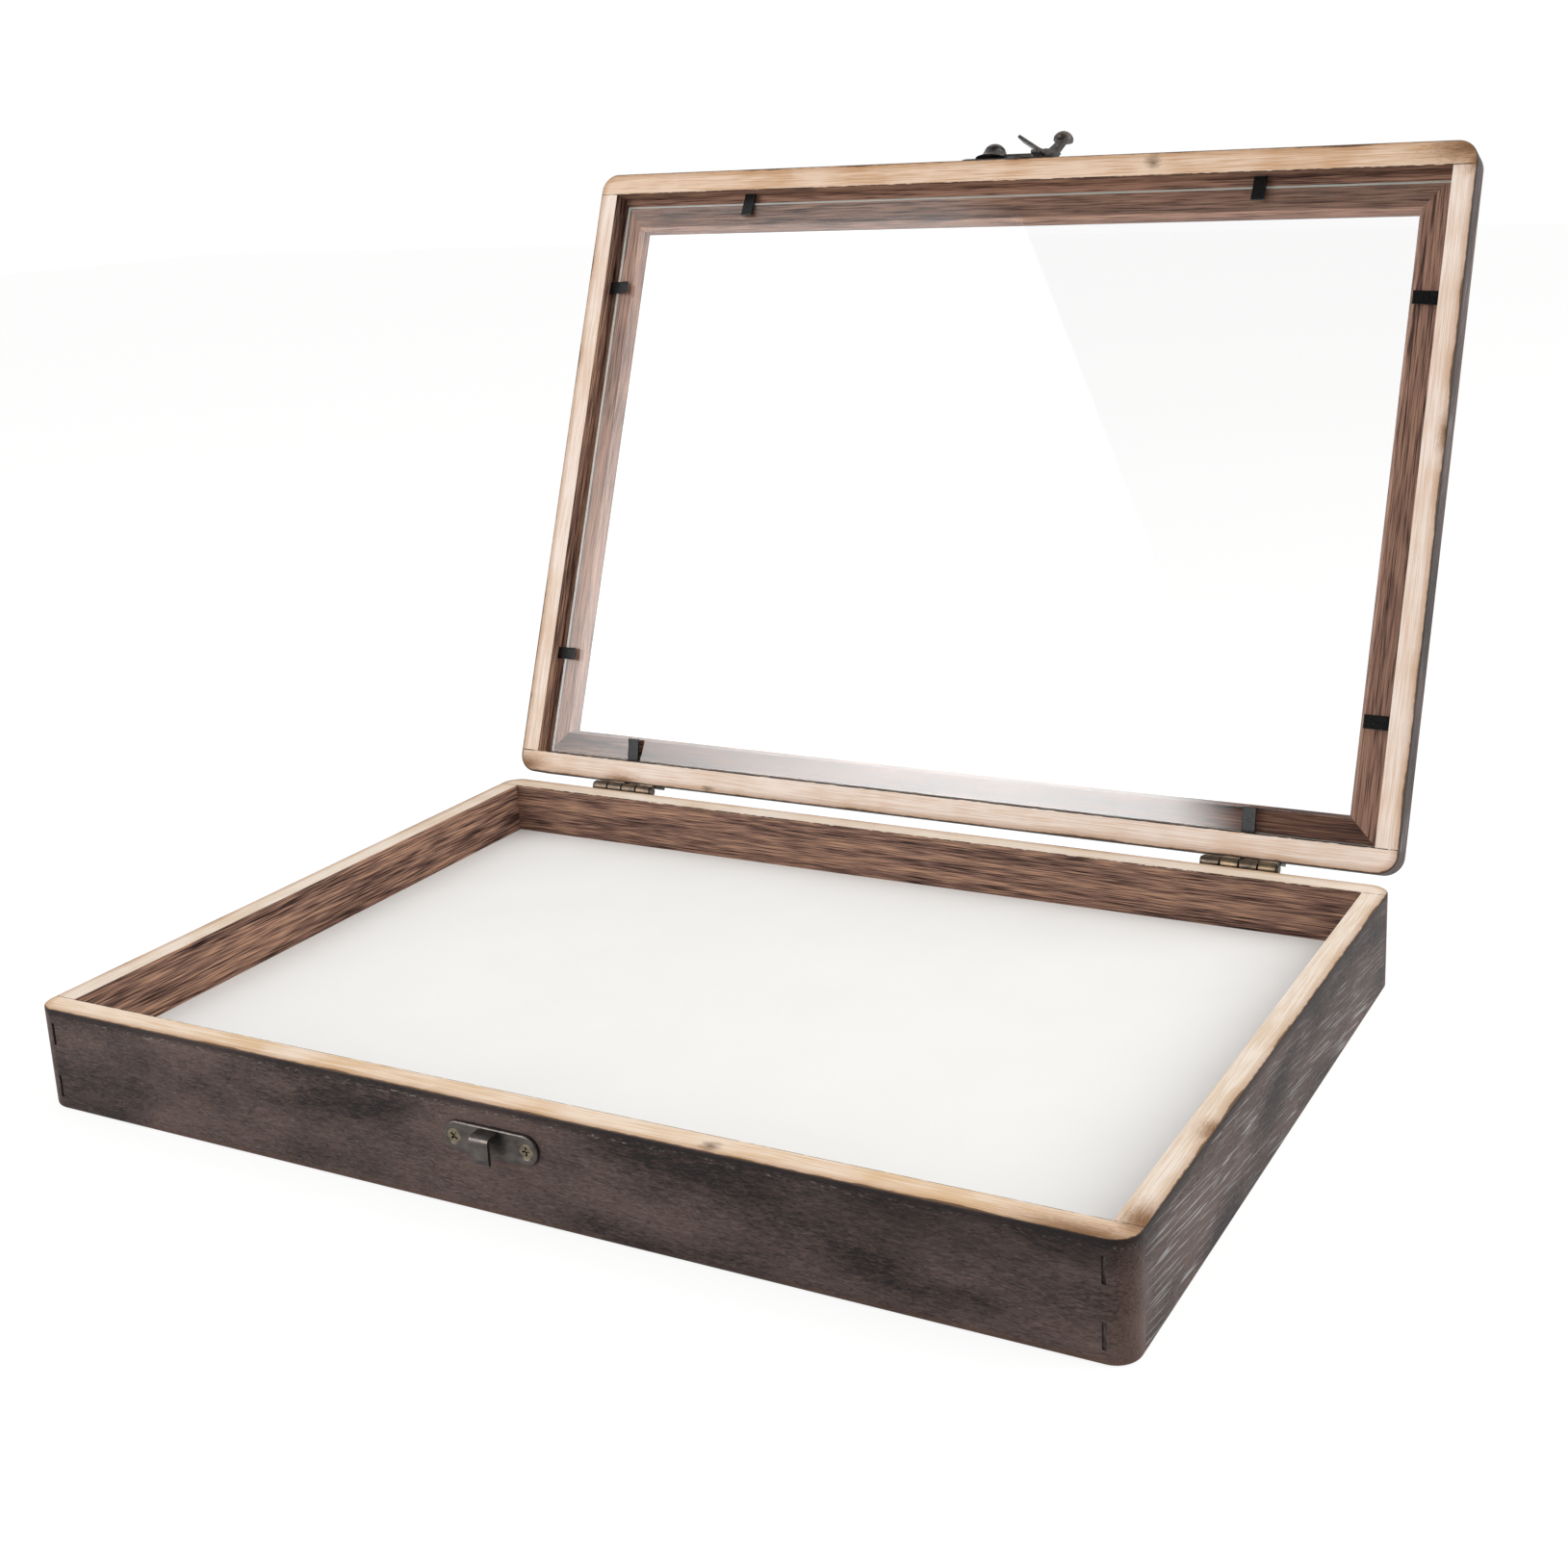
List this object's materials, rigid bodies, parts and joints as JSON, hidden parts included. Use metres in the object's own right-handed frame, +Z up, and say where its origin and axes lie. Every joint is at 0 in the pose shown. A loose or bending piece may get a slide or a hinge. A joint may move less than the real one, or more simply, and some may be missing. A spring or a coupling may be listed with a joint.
{
  "type": "insect display box",
  "caption": "Flat hinged wooden case with a glazed lid, foam lining, stop hinges and a swinging hook latch, for pinned insects.",
  "frame": {"origin": "centre of the flat underside of the base, which rests on the table", "axes": "+X to the right along the front, +Y from the latch side back to the hinges, +Z up out of the open base; stored with the lid leaning back on its hinge stops"},
  "size_m": [0.3, 0.3115, 0.235],
  "materials": {
    "charred_wood": "satin",
    "bottom_board": "matte",
    "foam": "matte",
    "glass": "gloss",
    "bronze": "satin",
    "hinge_steel": "satin",
    "black_steel": "satin",
    "staple_steel": "satin"
  },
  "bodies": {
    "base": {"base_front_board": "charred_wood", "base_back_board": "charred_wood", "base_left_board": "charred_wood", "base_right_board": "charred_wood", "base_corner_staples": "staple_steel", "base_bottom_panel": "bottom_board", "pinning_foam": "foam", "left_hinge_base_leaf": "bronze", "right_hinge_base_leaf": "bronze", "left_hinge_pin": "hinge_steel", "right_hinge_pin": "hinge_steel", "hinge_base_screws": "bronze", "catch_plate": "bronze", "catch_screws": "bronze"},
    "lid": {"lid_front_rail": "charred_wood", "lid_back_rail": "charred_wood", "lid_left_rail": "charred_wood", "lid_right_rail": "charred_wood", "face_frame_front": "charred_wood", "face_frame_back": "charred_wood", "face_frame_left": "charred_wood", "face_frame_right": "charred_wood", "glass_pane": "glass", "glazing_points": "black_steel", "left_hinge_lid_leaf": "bronze", "right_hinge_lid_leaf": "bronze", "hinge_lid_screws": "bronze", "latch_plate": "bronze", "latch_screws": "bronze", "latch_rivet": "bronze"},
    "latch_hook": {"latch_hook": "bronze"}
  },
  "joints": [
    {"name": "lid_hinge", "type": "hinge", "parent": "base", "child": "lid", "pos_m": [0, 0.1084, 0.0283], "axis": [1, 0, 0], "range_deg": [0, 111.75]},
    {"name": "latch_swing", "type": "hinge", "parent": "lid", "child": "latch_hook", "pos_m": [-0.0029, 0.19368, 0.22533], "axis": [0, -0.3706, -0.9288], "range_deg": [-240, 68]}
  ]
}
